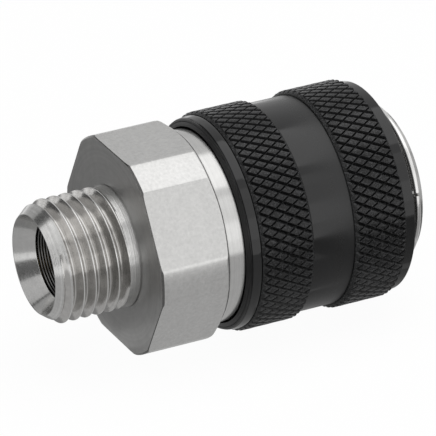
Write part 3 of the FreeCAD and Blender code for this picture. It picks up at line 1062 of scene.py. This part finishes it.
@dataclass
class KnurlBand:
    """Band of diamonds between a wide and a narrow family of slanting grooves.

    Attributes:
        start: Back end of the band on the axis, in millimetres as all sizes here.
        end: Front end of the band.
        start_chamfer: Length of the 45 degree chamfer at the back end.
        end_chamfer: Length of the chamfer at the front end.
        end_drop: Depth of that chamfer.
        radius: Radius over the diamonds.
        base: Radius down to which the sides go.
        count: Number of grooves in each family.
        slant: Angle in degrees between a groove and the axis.
        depth: Depth of the wide grooves.
        narrow_depth: Depth of the narrow grooves as a share of it.
        wide: Half of a wide groove's width as a share of the distance between grooves.
        narrow: The same for the narrow grooves.
        floor_edge: Edge of a groove's floor, as shares of the half width and of the depth.
        crown: Drop at the edge of a diamond and a little further in.
        crown_run: Share of the distance between grooves from one to the other.
        wall_depth: Depth below which a face can be a wall.
        wall_lean: Lean above which a wall takes the painted shade.
        narrow_lean: Product of two leans above which a wall belongs to a narrow groove and takes the
            painted shade.
    """

    start: float
    end: float
    start_chamfer: float
    end_chamfer: float
    end_drop: float
    radius: float
    base: float = 11.3
    count: int = 66
    slant: float = 30.0
    depth: float = 0.27
    narrow_depth: float = 0.7
    wide: float = 0.2
    narrow: float = 0.095
    floor_edge: tuple[float, float] = (0.15, 0.88)
    crown: tuple[float, float] = (0.02, 0.01)
    crown_run: float = 0.05
    wall_depth: float = 0.03
    wall_lean: float = 0.2
    narrow_lean: float = 0.1

    def across(self, width: float, depth: float) -> tuple[np.ndarray, np.ndarray]:
        """Walk from one groove of a family to the next.

        Args:
            width: Half of a groove's width as a share of the distance between grooves.
            depth: Depth of the grooves.

        Returns:
            Places between the grooves from 0 to 1 and the drop at each of them.
        """
        half = np.array([
            [0.0, depth],
            [self.floor_edge[0] * width, self.floor_edge[1] * depth],
            [width, self.crown[0]],
            [width + self.crown_run, self.crown[1]],
        ])
        place = np.concatenate([half[:, 0], [0.5], 1.0 - half[::-1, 0]])
        return place, np.concatenate([half[:, 1], [0.0], half[::-1, 1]])

    def cells(self) -> tuple[np.ndarray, list[list[int]]]:
        """Lay the diamonds side by side round the band, with a crossing of grooves at its middle.

        Returns:
            Points round the axis and the corners of each face.
        """
        around = FULL_TURN * self.radius / self.count
        along = around / math.tan(math.radians(self.slant))
        wide = self.across(self.wide, self.depth)
        narrow = self.across(self.narrow, self.narrow_depth * self.depth)
        low, high = np.meshgrid(wide[0], narrow[0], indexing="ij")
        radius = self.radius - np.maximum(wide[1][:, None], narrow[1][None])
        quads = grid_quads(*radius.shape, flipped=True)
        reach = math.ceil((self.end - self.start) / along)
        points, faces = [], []
        for row in range(-reach, reach + 1):
            for cell in range(self.count):
                turn = ((low + high) / 2 + cell + (row % 2) / 2) * FULL_TURN / self.count
                place = (self.start + self.end) / 2 + ((high - low) / 2 + row / 2) * along
                faces.extend((quads + len(points) * radius.size).tolist())
                points.append(on_axis(place, radius, turn).reshape(-1, 3))
        return np.concatenate(points), faces

    def surface(self, shell: Shell) -> None:
        """Cut the diamonds off at both ends of the band, close its sides and add it to the sleeve.

        Args:
            shell: Surface of the sleeve.
        """
        touch, slack = 1e-3, 1e-4
        work = start_work(*self.cells(), touch)
        cut_across(work, self.start, -1.0, slack)
        cut_across(work, self.end, 1.0, slack)
        cut_across(work, self.start + self.start_chamfer, -1.0, slack, clear=False)
        cut_across(work, self.end - self.end_chamfer, 1.0, slack, clear=False)
        end_slope = self.end_drop / self.end_chamfer
        for vert in work.verts:
            before = self.start + self.start_chamfer - vert.co.x
            beyond = (vert.co.x - self.end + self.end_chamfer) * end_slope
            to_radius(vert, min(reach_of(vert.co), self.radius - max(before, beyond, 0.0)))
        for side in (self.start, self.end):
            rim = [
                edge for edge in work.edges
                if edge.is_boundary and all(abs(vert.co.x - side) < touch for vert in edge.verts)
            ]
            for item in bmesh.ops.extrude_edge_only(work, edges=rim)["geom"]:
                if isinstance(item, bmesh.types.BMVert):
                    to_radius(item, self.base)
        bmesh.ops.recalc_face_normals(work, faces=work.faces)
        shell.take(work, self.finish)

    def finish(self, face: bmesh.types.BMFace) -> Black:
        """Tell walls with a painted shade from the rest: those that face down at the front, and both of a
        narrow groove.

        Args:
            face: Face of the band.

        Returns:
            The finish that the face takes.
        """
        middle = face.calc_center_median()
        reach = reach_of(middle)
        inside = self.start + self.start_chamfer < middle.x < self.end - self.end_chamfer
        lean = (face.normal.z * middle.y - face.normal.y * middle.z) / reach
        takes_painted_shade = face.normal.x * lean > self.narrow_lean or lean > self.wall_lean
        wall = inside and self.radius - reach > self.wall_depth
        # Walls that face down, and the narrow grooves' walls, take a painted shade.
        return Black.KNURL_PAINTED_SHADE if wall and takes_painted_shade else Black.KNURL


@dataclass
class GripSleeve:
    """Locking sleeve with two knurled bands; sizes in millimetres."""

    # Back lip: a bevel with a fine line and a second line in front of it, both given from lip_line and lip
    back: float = 10.15
    lip_bore: float = 10.61
    lip: float = 11.43
    lip_line: float = 10.47
    bevel_foot: tuple[float, float] = (0.05, 0.17)
    bevel_line: tuple[tuple[float, float], ...] = ((-0.165, -0.368), (-0.1, -0.345), (-0.138, -0.296))
    bevel_end: tuple[float, float] = (-0.07, -0.114)
    line_walls: tuple[tuple[float, float, float], ...] = (
        (-0.05, -0.06, 0.04), (-0.01, -0.13, 0.02), (0.04, -0.13, 0.02), (0.1, 0.0, 0.03),
    )
    lip_slope: float = 0.82
    lip_band: float = 11.52
    lip_band_end: float = 11.57
    lip_band_chamfer: tuple[float, float] = (0.06, 0.12)
    # Grip with its knurled bands
    groove: float = 11.37
    grip: float = 11.85
    knurl_back: tuple[float, float] = (11.6, 17.7)
    knurl_back_chamfers: tuple[float, float] = (0.3, 0.35)
    knurl_front: tuple[float, float] = (22.485, 28.5)
    knurl_front_chamfers: tuple[float, float] = (0.35, 0.215)
    knurl_base: float = 11.34
    knurl_overlap: float = 0.3
    knurl_join: float = 0.02
    step: float = 11.42
    # Front cone
    corner: float = 29.6
    front: float = 30.74
    front_edge: float = 8.6
    # Inside
    guide: float = 8.28
    recess: float = 8.9
    land: float = 8.38
    land_end: float = 25.6
    recess_end: float = 28.6
    spring_face: float = 22.9
    spring_room: float = 10.2
    room_start: float = 17.25
    steps: int = 132

    def at_lip(self, corner: Sequence[float]) -> tuple[float, ...]:
        """Move a corner that is given from the lip's line and radius to its place."""
        return (self.lip_line + corner[0], self.lip + corner[1], *corner[2:])

    def lip_bevel(self) -> list[tuple[float, float]]:
        """Draw the bevel at the back lip.

        Returns:
            Places and radii from the bore to the edge of the bevel.
        """
        rise, width = self.bevel_foot
        return eased([
            (self.back, self.lip_bore),
            (self.back + rise, self.lip_bore + width, 0.05),
            *(self.at_lip(corner) for corner in self.bevel_line),
            self.at_lip(self.bevel_end),
        ], arc=5)

    def outside(self) -> list[tuple[float, float]]:
        """Draw the outer profile.

        Returns:
            Places and radii from the lip's bevel to the front edge.
        """
        length, depth = self.lip_band_chamfer
        return eased([
            self.at_lip(self.bevel_end),
            *(self.at_lip(corner) for corner in self.line_walls),
            (self.lip_line + self.lip_slope, self.lip_band, 0.1),
            (self.lip_band_end - length, self.lip_band, 0.04),
            (self.lip_band_end, self.lip_band - depth),
            (self.knurl_back[0] + self.knurl_overlap, self.knurl_base),
            (self.knurl_back[1] - self.knurl_overlap, self.knurl_base),
            (self.knurl_back[1] - self.knurl_join, self.groove, 0.03),
            (self.knurl_front[0], self.groove),
            (self.knurl_front[0] + self.knurl_overlap, self.knurl_base),
            (self.knurl_front[1] - self.knurl_overlap, self.knurl_base),
            (self.knurl_front[1] - self.knurl_join, self.step, 0.03),
            (self.corner, self.step, 0.07),
            (self.front, self.front_edge, 0.06),
            (self.front, self.guide),
        ], arc=5)

    def inside(self) -> list[tuple[float, float]]:
        """Draw the inner profile.

        Returns:
            Places and radii from the front edge back to the lip.
        """
        return [
            (self.front, self.guide),
            (self.recess_end + self.recess - self.guide, self.guide),
            (self.recess_end, self.recess),
            (self.land_end + self.recess - self.land, self.recess),
            (self.land_end, self.land),
            (self.spring_face, self.land),
            (self.spring_face, self.spring_room),
            (self.room_start, self.spring_room),
            (self.room_start, self.lip_bore),
            (self.back, self.lip_bore),
        ]

    def bands(self) -> list[KnurlBand]:
        """Plan the two knurled bands.

        Returns:
            The band at the back and the band at the front.
        """
        return [
            KnurlBand(*ends, *chamfers, end_drop=self.grip - foot, radius=self.grip)
            for ends, chamfers, foot in (
                (self.knurl_back, self.knurl_back_chamfers, self.groove),
                (self.knurl_front, self.knurl_front_chamfers, self.step),
            )
        ]

    def mark_edges(self, piece: bpy.types.Object) -> None:
        """Store how hollow and how exposed each point of the knurl is, for the painted shade in its
        grooves and the rubbed, partly painted highlight on its edges.

        Args:
            piece: Sleeve with its final mesh.
        """
        margin, clear_of_base = 0.01, 0.02
        edge_drop, edge_falloff = 0.09, 12.0
        hollow_gain, hollow_start = 1.1, 0.1
        mesh = piece.data
        points = np.zeros(len(mesh.vertices) * 3, np.float32)
        mesh.vertices.foreach_get("co", points)
        points = points.reshape(-1, 3) / MM
        place, radius = points[:, 0], np.hypot(points[:, 1], points[:, 2])
        hollow = np.zeros(len(points), np.float32)
        edge = np.zeros(len(points), np.float32)
        for band in self.bands():
            within = (place > band.start - margin) & (place < band.end + margin)
            within &= radius > band.base + clear_of_base
            drop = (band.radius - radius[within]) / band.depth
            hollow[within] = np.clip(drop * hollow_gain - hollow_start, 0.0, 1.0)
            edge[within] = np.clip(1.0 - np.abs(drop - edge_drop) * edge_falloff, 0.0, 1.0)
        for name, values in (("hollow", hollow), ("edge", edge)):
            mesh.attributes.new(name, "FLOAT", "POINT").data.foreach_set("value", values)

    def build(self) -> bpy.types.Object:
        """Build and dress the sleeve.

        Returns:
            The finished piece.
        """
        shell = Shell()
        shell.turned(self.outside(), self.steps, Black.SLEEVE)
        shell.turned(self.inside(), self.steps, Black.SLEEVE)
        for band in self.bands():
            band.surface(shell)
        # The back bevel takes the lighter black, painted light.
        shell.turned(self.lip_bevel(), self.steps, Black.LIP_PAINTED_LIGHT)
        piece = shell.piece("sleeve", crease=33.0)
        self.mark_edges(piece)
        settle(piece, "sleeve", "grip_sleeve")
        return piece


@dataclass
class CoilSpring:
    """Compression spring with ground ends; sizes in millimetres."""

    name: str
    node: str
    joint: str
    back: float
    front: float
    mean: float
    wire: float
    turns: float
    travel: float
    steps_per_turn: int = 36
    sides: int = 12

    def wound(self) -> bmesh.types.BMesh:
        """Sweep the wire and grind both ends flat.

        Returns:
            The mesh of the spring in millimetres.
        """
        slack = 1e-5
        share = np.linspace(0.0, 1.0, round(self.turns * self.steps_per_turn) + 1)[:, None]
        around = round_angles(self.sides)[None]
        place = self.back + share * (self.front - self.back) + self.wire / 2 * np.sin(around)
        radius = self.mean + self.wire / 2 * np.cos(around)
        points = on_axis(place, radius, share * self.turns * FULL_TURN).reshape(-1, 3)
        faces = grid_quads(len(share), self.sides, closed=True, flipped=True).tolist()
        cap = list(range(self.sides))
        faces += [cap, [corner + len(points) - self.sides for corner in cap]]
        work = start_work(points, faces, slack)
        for end, away in ((self.back, -1.0), (self.front, 1.0)):
            bmesh.ops.contextual_create(work, geom=cut_across(work, end, away, slack))
        bmesh.ops.recalc_face_normals(work, faces=work.faces)
        return work

    def build(self) -> bpy.types.Object:
        """Build the spring and dress it.

        Returns:
            The finished piece.
        """
        shell = Shell()
        shell.take(self.wound(), lambda face: Metal.SPRING)
        piece = shell.piece(self.name, crease=50.0)
        settle(piece, "housing", self.node)
        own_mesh(piece)
        return piece


@dataclass
class SnapRing:
    """Wire ring with a slit, in the groove of the nose; sizes in millimetres, the slit in degrees."""

    place: float = 31.45
    mean: float = 8.58
    wire_radius: float = 0.31
    slit: tuple[float, float] = (75.0, 77.2)
    steps: int = 160
    sides: int = 20

    def build(self) -> bpy.types.Object:
        """Build and dress the ring.

        Returns:
            The finished piece.
        """
        turn = np.radians(np.linspace(self.slit[1], self.slit[0] + 360.0, self.steps + 1))[None]
        around = round_angles(self.sides)[:, None]
        place = self.place + self.wire_radius * np.sin(around)
        grid = on_axis(place, self.mean + self.wire_radius * np.cos(around), turn)
        shell = Shell()
        shell.sheet(np.concatenate([grid, grid[:1]]), Metal.RING_AND_CREST_HIGHLIGHT, closed=False)
        for end in (grid[:, 0], grid[::-1, -1]):
            shell.patch(end, [list(range(self.sides))], [Metal.RING_AND_CREST_HIGHLIGHT])
        piece = shell.piece("snap_ring_wire")
        settle(piece, "housing", "snap_ring")
        return piece


@dataclass
class InnerPieces:
    """Pieces whose CAD shape is final and which take a finish only."""

    balls: int = 8

    def finishes(self) -> dict[str, Finish]:
        """Choose the finish of each CAD node that shows.

        Returns:
            Finishes by the name of the node.
        """
        chosen: dict[str, Finish] = {
            # The valve body takes the darker nickel, a painted shade on its nose.
            "valve_body": Metal.NOSE_PAINTED_SHADE,
            "spring_washer": Black.SLIP,
            "plug_seal": Black.SEAL,
            "joint_seal": Black.SEAL,
            "valve_seal": Black.SEAL,
            "valve_poppet": Metal.BRASS,
            "valve_guide": Metal.BRASS,
        }
        chosen.update({f"locking_ball_{k + 1}": Metal.BALL for k in range(self.balls)})
        return chosen

    def build(self) -> list[bpy.types.Object]:
        """Dress each node.

        Returns:
            The dressed pieces.
        """
        pieces = []
        for name, finish in self.finishes().items():
            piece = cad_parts[name]
            for place in piece.material_slots:
                place.material = FinishStore.of(finish)
            pieces.append(piece)
        return pieces


def rectangle(
    name: str, centre: Sequence[float], across: Sequence[float], up: Sequence[float],
    material: bpy.types.Material,
) -> bpy.types.Object:
    """Make a rectangle for the studio.

    Args:
        name: Name of the rectangle.
        centre: Its middle in metres.
        across: Way from the middle to one side.
        up: Way from the middle to the upper edge.
        material: What it is made of.

    Returns:
        The new mesh object.
    """
    centre, across, up = (np.array(way, float) for way in (centre, across, up))
    corners = [centre - across - up, centre + across - up, centre + across + up, centre - across + up]
    mesh = bpy.data.meshes.new(name)
    mesh.from_pydata([tuple(corner) for corner in corners], [], [(0, 1, 2, 3)])
    mesh.materials.append(material)
    return in_scene(name, mesh)


@dataclass
class Card:
    """Studio card that only reflections show; sizes in metres."""

    name: str
    centre: Sequence[float]
    across: Sequence[float]
    up: Sequence[float]
    level: float

    @classmethod
    def along_axis(
        cls, name: str, tilts: tuple[float, float], ends: tuple[float, float], level: float,
    ) -> "Card":
        """Hang a strip beside the part's axis.

        Args:
            name: Name of the card.
            tilts: Angles of its edges in degrees, from overhead towards the front.
            ends: Places of its ends along the axis.
            level: Brightness, where 1 is white.

        Returns:
            The card.
        """
        first, second = on_axis(0.0, CARD_DISTANCE, np.radians(tilts))
        middle = (first + second) / 2 + [sum(ends) / 2, 0, 0]
        return cls(name, middle, (abs(ends[1] - ends[0]) / 2, 0, 0), (second - first) / 2, level)

    @classmethod
    def facing(
        cls, name: str, turns: tuple[float, float], rises: tuple[float, float], level: float,
    ) -> "Card":
        """Stand a card up so that it faces the part.

        Args:
            name: Name of the card.
            turns: Angles of its sides in degrees, from +X towards +Y.
            rises: Angles of its lower and upper edge in degrees above the horizon.
            level: Brightness, where 1 is white.

        Returns:
            The card.
        """
        turn, rise = math.radians(sum(turns) / 2), math.radians(sum(rises) / 2)
        outward = np.array([math.cos(turn), math.sin(turn), 0.0])
        away = math.cos(rise) * outward + [0.0, 0.0, math.sin(rise)]
        across = np.array([-math.sin(turn), math.cos(turn), 0.0])
        wide = CARD_DISTANCE * math.tan(math.radians(turns[1] - turns[0]) / 2) * math.cos(rise)
        tall = CARD_DISTANCE * math.tan(math.radians(rises[1] - rises[0]) / 2)
        return cls(name, CARD_DISTANCE * away, wide * across, tall * np.cross(away, across), level)

    def build(self) -> bpy.types.Object:
        """Build the card.

        Returns:
            The card, marked as part of the stage.
        """
        material, nodes, _ = new_material(self.name)
        nodes.tree.nodes.clear()
        glow = nodes.add("ShaderNodeEmission", WHITE, self.level)
        nodes.add("ShaderNodeOutputMaterial", glow.outputs[0])
        card = rectangle(self.name, self.centre, self.across, self.up, material)
        card.visible_camera = False
        card.visible_diffuse = False
        card.visible_shadow = False
        card.visible_transmission = False
        card.visible_volume_scatter = False
        return card


def seen_share(nodes: Nodes) -> bpy.types.NodeSocket:
    """Tell rays from the camera, from glossy faces and through glass from the rest.

    Args:
        nodes: Helper for the nodes of a material or the world.

    Returns:
        1 for such a ray and 0 for any other.
    """
    path = nodes.add("ShaderNodeLightPath").outputs
    share = nodes.math("MAXIMUM", path["Is Camera Ray"], path["Is Glossy Ray"])
    return nodes.math("MAXIMUM", share, path["Is Transmission Ray"])


@dataclass
class Studio:
    """Floor, light, cards and camera; sizes in metres."""

    floor: float = -0.01187
    floor_size: float = 3.0
    floor_colour: Colour = (0.9, 0.9, 0.9)
    floor_glow: float = 0.965
    fill: float = 0.3
    lamp_place: tuple[float, float, float] = (0.1, -0.02, 0.4)
    lamp_size: tuple[float, float] = (0.5, 0.35)
    lamp_power: float = 1.6
    card_lift: float = 0.0004
    card_gap: float = 0.0002
    view: tuple[float, float, float] = (-0.3905, -0.8087, 0.44)
    aim: tuple[float, float, float] = (0.012232, 0.00016, 0.000226)
    slope: float = 13.511
    distance: float = 0.52
    width: float = 0.045965
    sensor: float = 36.0
    clip_start: float = 0.01

    def lay_floor(self) -> None:
        """Lay a pale floor that reads as white and keeps a soft shadow."""
        material, nodes, shader = new_material("floor_white")
        nodes.put((*self.floor_colour, 1.0), shader.inputs["Base Color"])
        nodes.put(1.0, shader.inputs["Roughness"])
        nodes.put(0.0, shader.inputs["Specular IOR Level"])
        glow = nodes.add("ShaderNodeEmission", WHITE, 1.0)
        share = nodes.math("MULTIPLY", seen_share(nodes), self.floor_glow)
        mix = nodes.add("ShaderNodeMixShader", share, shader.outputs[0], glow.outputs[0])
        nodes.put(mix.outputs[0], nodes.tree.nodes["Material Output"].inputs["Surface"])
        size = self.floor_size
        floor = rectangle("floor", (0, 0, self.floor), (size, 0, 0), (0, size, 0), material)

    def light(self) -> None:
        """Set the world and a broad overhead light."""
        world = bpy.data.worlds.new("studio")
        world.use_nodes = True
        bpy.context.scene.world = world
        nodes = Nodes(world.node_tree)
        nodes.tree.nodes.clear()
        strength = nodes.spread(seen_share(nodes), 0.0, 1.0, self.fill, 1.0)
        back = nodes.add("ShaderNodeBackground", WHITE, strength)
        nodes.add("ShaderNodeOutputWorld", back.outputs[0])
        lamp = bpy.data.lights.new("overhead", "AREA")
        lamp.shape = "RECTANGLE"
        lamp.size, lamp.size_y = self.lamp_size
        lamp.energy = self.lamp_power
        light = in_scene("overhead", lamp)
        light.location = self.lamp_place
        light.visible_glossy = False

    def cards(self) -> list[Card]:
        """Plan the cards that shape the reflections.

        Returns:
            Strips beside the axis, cards that face the part, and shades that lie on the floor.
        """
        low = self.floor + self.card_lift
        above = low + self.card_gap
        top = above + self.card_gap / 2
        return [
            Card.along_axis("softbox", (-22.5, 25.5), (-0.15, 0.5), 1.34),
            Card.along_axis("softbox_edge", (26.5, 36.0), (-0.15, 0.5), 0.78),
            Card.along_axis("front_middle", (47.0, 66.0), (-0.1, 0.5), 0.94),
            Card.along_axis("front_low", (67.0, 88.0), (-0.1, 0.5), 1.15),
            Card.along_axis("back", (-24.0, -62.0), (-0.03, 0.5), 0.66),
            Card.along_axis("back_low", (-62.0, -92.0), (-0.03, 0.5), 0.6),
            Card.facing("left", (147.0, 208.0), (2.0, 40.0), 0.72),
            Card.facing("left_high", (104.0, 225.0), (51.0, 72.0), 0.6),
            Card.facing("dark_left", (119.0, 145.0), (-2.0, 50.0), 0.09),
            Card.facing("back_left", (84.0, 118.0), (-2.0, 50.0), 0.45),
            Card.facing("front_left", (-147.0, -124.0), (8.0, 46.0), 0.13),
            Card("floor_shade", (0.03, 0.015, low), (0.17, 0, 0), (0, 0.075, 0), 0.48),
            Card("back_shade", (-0.041, 0.052, above), (0.04, 0, 0), (0, 0.05, 0), 0.27),
            Card("near_shade", (-0.0015, -0.015, above), (0.0025, 0, 0), (0, 0.013, 0), 0.36),
            Card("contact_shade", (0.024, -0.0045, above), (0.011, 0, 0), (0, 0.006, 0), 0.3),
            Card("front_shade", (0.055, -0.032, above), (0.028, 0, 0), (0, 0.02, 0), 0.3),
            Card("sleeve_shade", (0.0235, -0.017, top), (0.0045, 0, 0), (0, 0.006, 0), 0.34),
        ]

    def aim_camera(self) -> None:
        """Place the camera so that the axis rises to the right."""
        view = Vector(self.view).normalized()
        along = (Vector((1, 0, 0)) - view * view.x).normalized()
        rise = view.cross(along)
        tilt = math.radians(self.slope)
        right = along * math.cos(tilt) - rise * math.sin(tilt)
        up = along * math.sin(tilt) + rise * math.cos(tilt)
        data = bpy.data.cameras.new("camera")
        data.sensor_width = self.sensor
        data.sensor_fit = "HORIZONTAL"
        data.lens = self.sensor * self.distance / self.width
        data.clip_start = self.clip_start
        camera = in_scene("camera", data)
        turn = Matrix((right, up, view)).transposed().to_4x4()
        camera.matrix_world = Matrix.Translation(Vector(self.aim) + view * self.distance) @ turn
        bpy.context.scene.camera = camera

    def build(self) -> None:
        """Build the stage."""
        bpy.context.scene.view_settings.view_transform = "Standard"
        self.lay_floor()
        self.light()
        for card in self.cards():
            card.build()
        self.aim_camera()


def main() -> None:
    """Build the coupling's pieces and the studio round them, and report each piece."""
    logging.basicConfig(level=logging.INFO, format="%(name)s %(message)s")
    sleeve_coil = CoilSpring(
        "sleeve_coil", "sleeve_spring", "sleeve_slide",
        back=16.0, front=22.3, mean=9.1, wire=1.1, turns=3.5, travel=1.8,
    )
    valve_coil = CoilSpring(
        "valve_coil", "valve_spring", "valve_slide",
        back=4.0, front=13.4, mean=5.0, wire=0.8, turns=5.0, travel=3.2,
    )
    parts = (ThreadedAdapter(), GripSleeve(), sleeve_coil, valve_coil, SnapRing())
    pieces = [part.build() for part in parts]
    for piece in pieces + InnerPieces().build():
        LOG.info("%s: %d faces", piece.name, len(piece.data.polygons))
    Studio().build()


if __name__ == "__main__":
    main()
